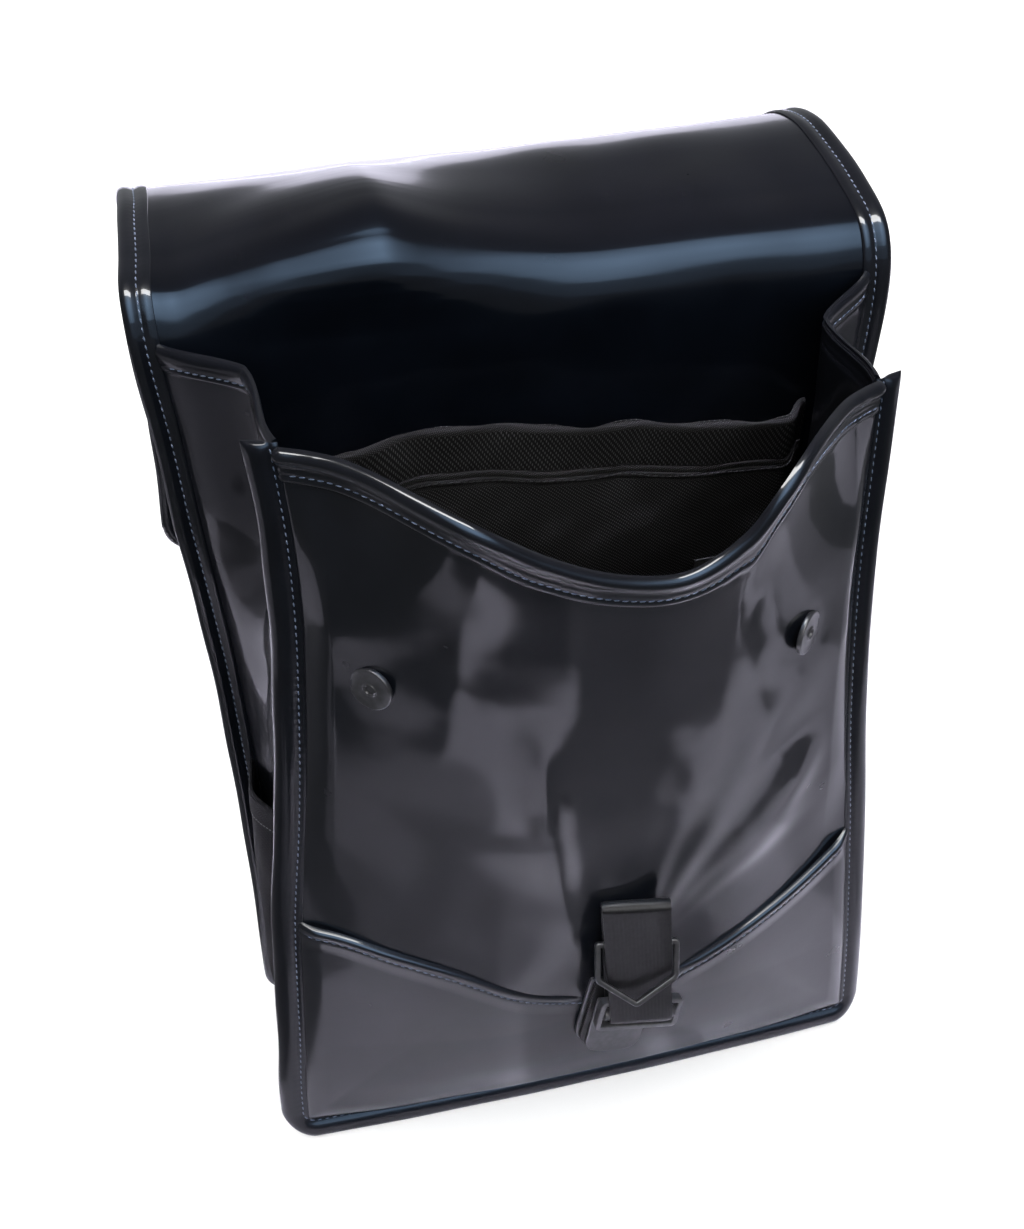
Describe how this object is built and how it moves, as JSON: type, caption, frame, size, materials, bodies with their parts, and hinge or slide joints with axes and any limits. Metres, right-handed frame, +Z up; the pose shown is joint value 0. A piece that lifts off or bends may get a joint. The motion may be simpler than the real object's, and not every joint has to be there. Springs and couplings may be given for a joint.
{
  "type": "mini backpack",
  "caption": "Small open-topped backpack of glossy coated cloth, with bound seams, a flap thrown back, an inner sleeve, side pockets and a tab buckle on the front.",
  "frame": {"origin": "on the floor under the middle of the base", "axes": "+Z up, +Y from the front into the bag, +X to the right as seen from the front"},
  "size_m": [0.304, 0.2641, 0.3939],
  "materials": {
    "coated_cloth": "glossy navy coating on cloth",
    "binding": "glossy navy coated strip, folded round the seams",
    "nylon": "black woven nylon",
    "label": "plain grey woven label",
    "gunmetal": "satin gunmetal",
    "tape": "smooth black tape"
  },
  "bodies": {
    "root": {"front_panel": "coated_cloth", "lower_front_panel": "coated_cloth", "gusset_left": "coated_cloth", "gusset_right": "coated_cloth", "base_panel": "coated_cloth", "back_and_flap": "coated_cloth", "front_binding": "binding", "back_binding": "binding", "inner_sleeve": "nylon", "inner_label": "label", "side_pocket_left": "nylon", "side_pocket_right": "nylon", "shoulder_strap_left": "nylon", "shoulder_strap_right": "nylon", "snap_left": "gunmetal", "snap_right": "gunmetal", "tab_back_plate": "gunmetal", "tab_webbing": "tape", "tab_front_plate": "gunmetal", "buckle_bracket": "gunmetal", "buckle_bar": "gunmetal", "tape_loop": "tape", "v_ring": "gunmetal"}
  },
  "joints": []
}
